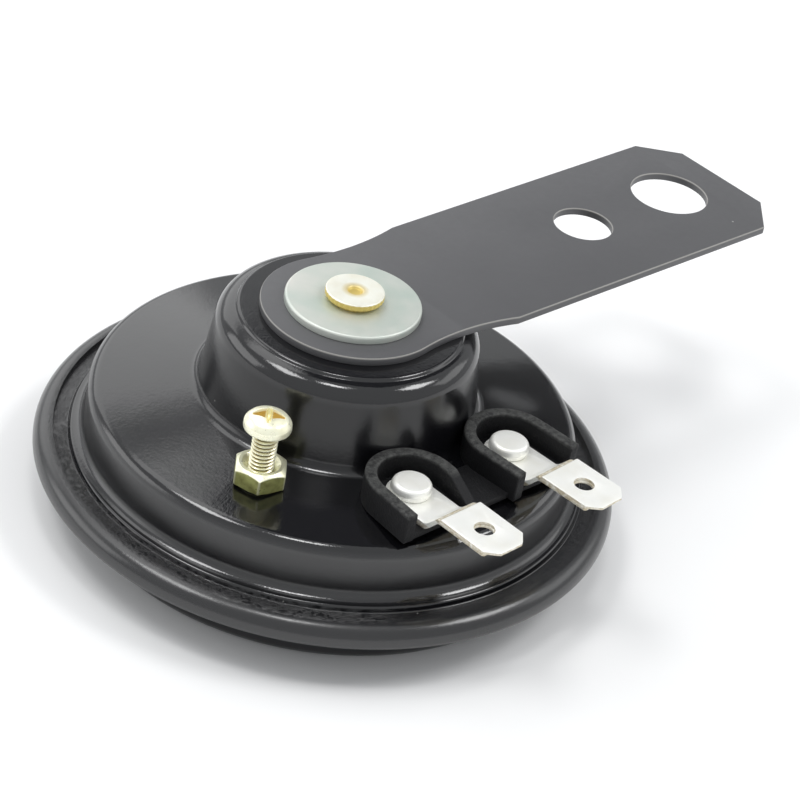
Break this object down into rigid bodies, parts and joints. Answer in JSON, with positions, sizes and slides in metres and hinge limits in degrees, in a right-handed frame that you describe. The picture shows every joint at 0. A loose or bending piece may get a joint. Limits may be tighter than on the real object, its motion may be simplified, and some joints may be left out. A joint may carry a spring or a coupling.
{
  "type": "car horn",
  "caption": "Round electric disc horn with a drawn back shell, rolled front rim, flat mounting strap, adjusting screw and two spade terminals.",
  "frame": {"origin": "centre of the front cover's face, on the horn's axis", "axes": "+Z out of the back of the horn along its axis, +X along the mounting bracket; it rests on the front face"},
  "size_m": [0.1, 0.0709, 0.0305],
  "materials": {
    "black_paint": "gloss",
    "bracket_paint": "satin",
    "zinc_plate": "satin",
    "yellow_zinc": "satin",
    "spring_steel": "satin",
    "plain_steel": "satin",
    "tinned_brass": "satin",
    "contact_metal": "satin",
    "black_moulding": "matt",
    "fibre": "matt",
    "gasket": "matt",
    "copper": "enamelled"
  },
  "bodies": {
    "housing": {"adjusting_nut": "yellow_zinc", "arm_lead": "copper", "back_shell": "black_paint", "bracket_washer": "zinc_plate", "breaker_carrier": "plain_steel", "breaker_plate_lower": "fibre", "breaker_plate_middle": "fibre", "breaker_plate_upper": "fibre", "breaker_rivet_1": "tinned_brass", "breaker_rivet_2": "tinned_brass", "coil_bobbin": "black_moulding", "coil_lead_end": "copper", "coil_lead_start": "copper", "coil_washer": "spring_steel", "coil_winding": "copper", "contact_arm": "tinned_brass", "contact_spring": "spring_steel", "contact_tip_fixed": "contact_metal", "contact_tip_moving": "contact_metal", "core_post": "zinc_plate", "diaphragm": "spring_steel", "front_cover": "black_paint", "front_gasket": "gasket", "mounting_bracket": "bracket_paint", "rear_gasket": "gasket", "screw_pad": "fibre", "terminal_blade_1": "tinned_brass", "terminal_blade_2": "tinned_brass", "terminal_block": "black_moulding", "terminal_insulator": "fibre", "terminal_rivet_1": "tinned_brass", "terminal_rivet_2": "tinned_brass", "terminal_tag_1": "tinned_brass", "terminal_tag_2": "tinned_brass", "yoke_plate": "plain_steel"},
    "striker": {"armature": "plain_steel", "armature_rivet": "plain_steel", "diaphragm_washer": "plain_steel"},
    "screw": {"adjusting_screw": "yellow_zinc"}
  },
  "joints": [
    {"name": "armature_stroke", "type": "slide", "parent": "housing", "child": "striker", "axis": [0, 0, 1], "range_m": [-0.0003, 0.0003], "stiffness_N_per_m": 60000, "deforming": ["diaphragm", "contact_spring"]},
    {"name": "adjusting_screw_turn", "type": "hinge", "parent": "housing", "child": "screw", "pos_m": [-0.0193, -0.0084, 0.018], "axis": [0, 0, 1], "range_deg": [-180, 180]}
  ]
}
